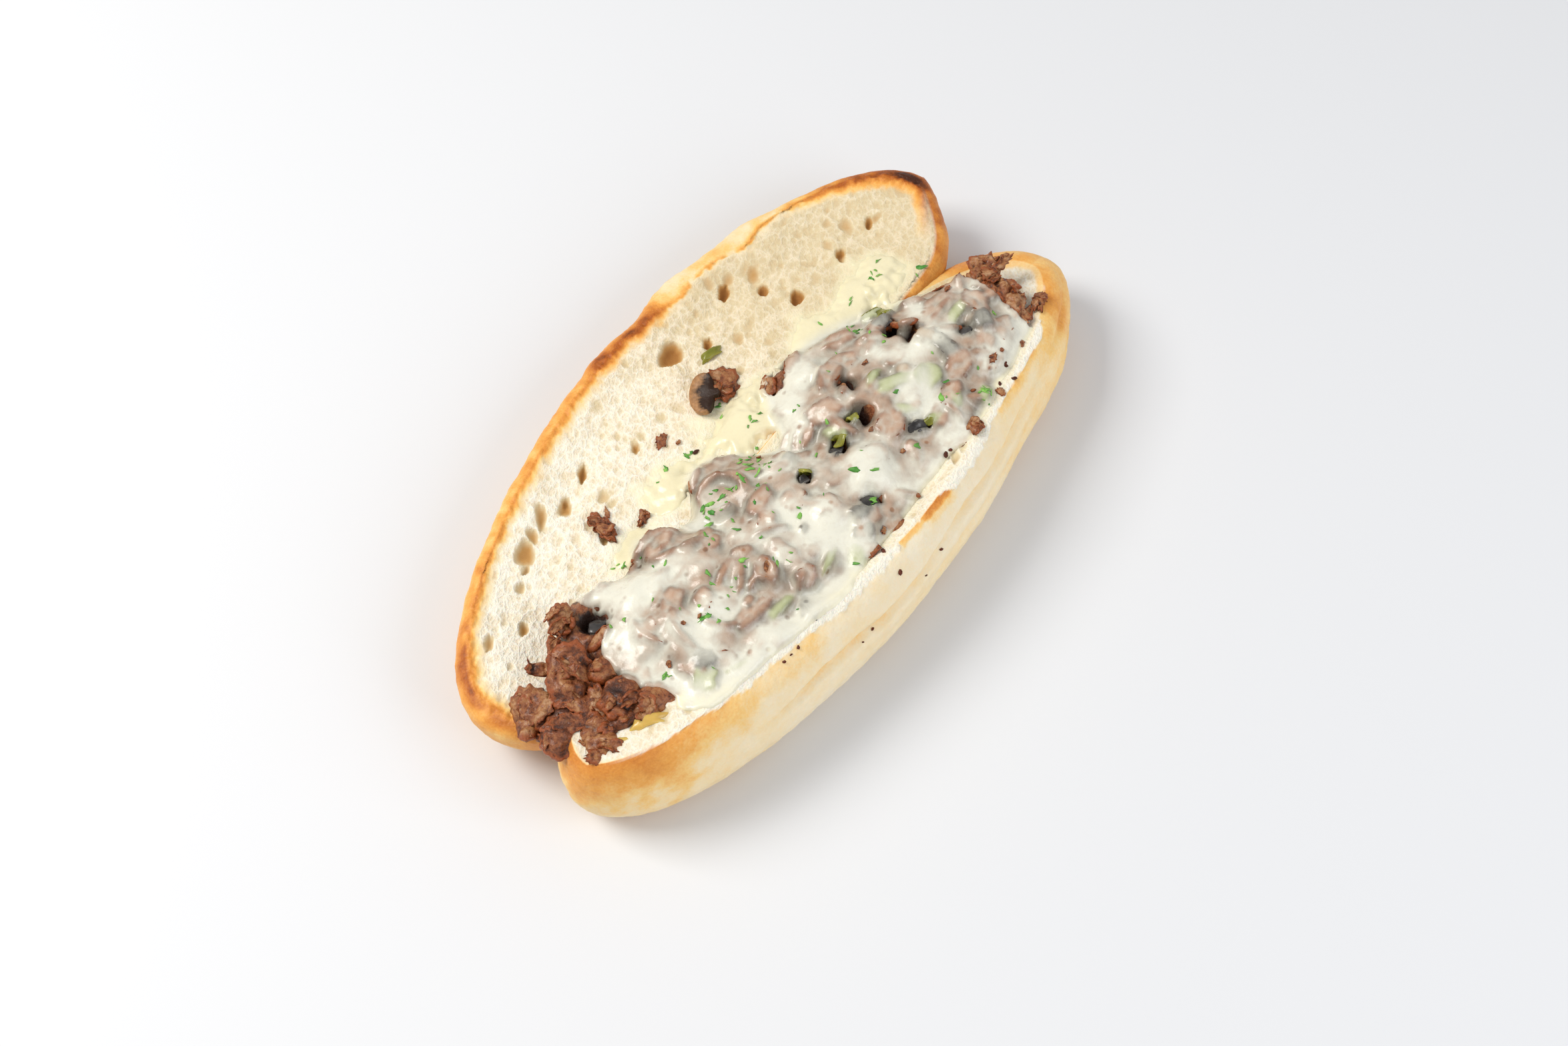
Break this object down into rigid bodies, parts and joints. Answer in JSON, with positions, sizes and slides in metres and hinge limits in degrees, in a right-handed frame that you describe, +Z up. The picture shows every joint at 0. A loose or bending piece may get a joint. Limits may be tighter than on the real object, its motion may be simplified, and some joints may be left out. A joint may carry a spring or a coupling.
{
  "type": "steak and cheese sub",
  "caption": "Long white roll split along one side and opened flat, its lower half filled with chopped steak, mushrooms and green peppers under melted cheese.",
  "frame": {"origin": "centre of the bounding box in plan, at the height of the surface the sub rests on", "axes": "+X along the roll towards its thinner, right-hand end, +Y from the filled half across the fold to the opened half, +Z up"},
  "size_m": [0.2785, 0.1525, 0.0519],
  "materials": {
    "roll_crust": "baked crust, satin, with a soft matt crumb inside",
    "steak": "moist cooked meat",
    "cheese": "melted, soft sheen",
    "green_pepper": "cooked, moist",
    "mushroom": "cooked, moist"
  },
  "bodies": {
    "root": {"roll": "roll_crust", "steak_filling": "steak", "melted_cheese": "cheese", "stray_steak": "steak", "stray_steak_low": "steak", "stray_steak_high": "steak", "stray_steak_mid": "steak", "stray_steak_wall": "steak", "stray_pepper": "green_pepper", "stray_mushroom": "mushroom"}
  },
  "joints": []
}
